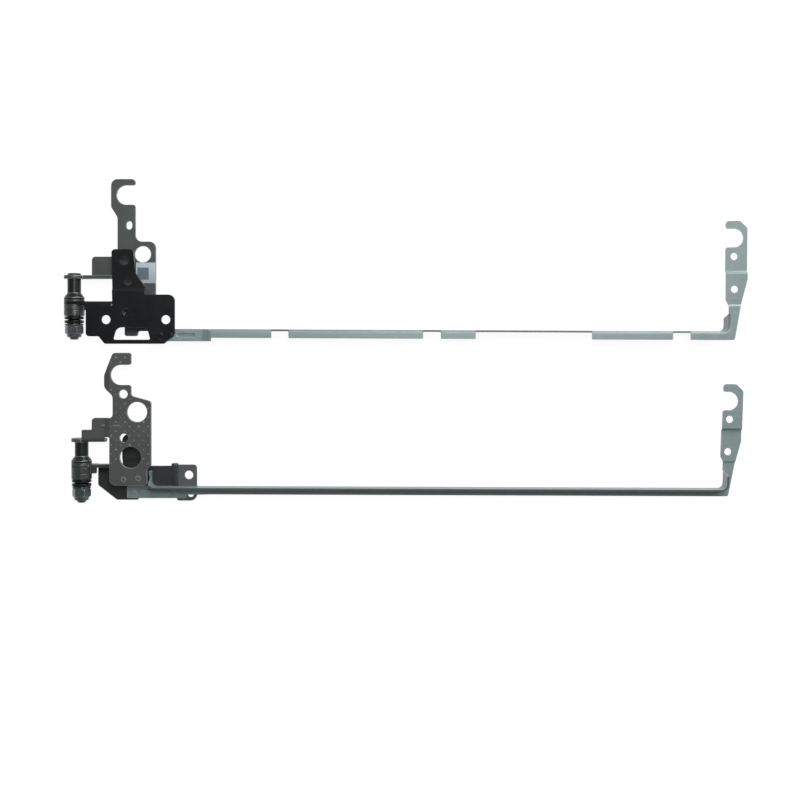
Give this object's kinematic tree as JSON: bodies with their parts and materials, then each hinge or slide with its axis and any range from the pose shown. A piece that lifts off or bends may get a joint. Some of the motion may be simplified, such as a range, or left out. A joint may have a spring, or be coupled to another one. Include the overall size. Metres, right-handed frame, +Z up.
{
  "type": "laptop hinge pair",
  "caption": "Left and right laptop hinges, folded: stamped base and lid brackets on friction shafts, with long angle rails for the display's sides.",
  "frame": {"origin": "centre of the pair's footprint, on the surface that it lies on", "axes": "+X along the rails from the shafts to the hooked arms, +Y from the right hinge to the left hinge, +Z up, away from the surface"},
  "size_m": [0.2298, 0.1094, 0.0075],
  "materials": {
    "left_base_plate": "satin",
    "right_base_plate": "satin",
    "left_lid_plate": "semi-gloss",
    "right_lid_plate": "semi-gloss",
    "rail_zinc": "zinc-coated",
    "shaft_steel": "oiled",
    "disc_steel": "oiled",
    "spring_steel": "oiled",
    "nut_steel": "satin",
    "label_film": "matte"
  },
  "bodies": {
    "resting_half": {"left_base_bracket": "left_base_plate", "left_hinge_shaft": "shaft_steel", "left_thrust_washer": "disc_steel", "left_pressure_disc": "disc_steel", "left_end_washer": "disc_steel", "left_lock_nut": "nut_steel", "left_spring_washer_1": "spring_steel", "left_spring_washer_2": "spring_steel", "left_spring_washer_3": "spring_steel", "left_spring_washer_4": "spring_steel", "left_label": "label_film", "right_lid_bracket": "right_lid_plate", "right_friction_disc": "disc_steel", "right_rail": "rail_zinc", "right_rail_rivets": "shaft_steel"},
    "left_lid": {"left_lid_bracket": "left_lid_plate", "left_friction_disc": "disc_steel", "left_rail": "rail_zinc", "left_rail_rivets": "shaft_steel"},
    "right_base": {"right_base_bracket": "right_base_plate", "right_hinge_shaft": "shaft_steel", "right_thrust_washer": "disc_steel", "right_pressure_disc": "disc_steel", "right_end_washer": "disc_steel", "right_lock_nut": "nut_steel", "right_spring_washer_1": "spring_steel", "right_spring_washer_2": "spring_steel", "right_spring_washer_3": "spring_steel", "right_spring_washer_4": "spring_steel"}
  },
  "joints": [
    {"name": "left_lid_fold", "type": "hinge", "parent": "resting_half", "child": "left_lid", "pos_m": [-0.11151, 0.0207, 0.00375], "axis": [0, -1, 0], "range_deg": [0, 135]},
    {"name": "right_base_fold", "type": "hinge", "parent": "resting_half", "child": "right_base", "pos_m": [-0.10901, -0.0342, 0.00375], "axis": [0, -1, 0], "range_deg": [0, 135]}
  ]
}
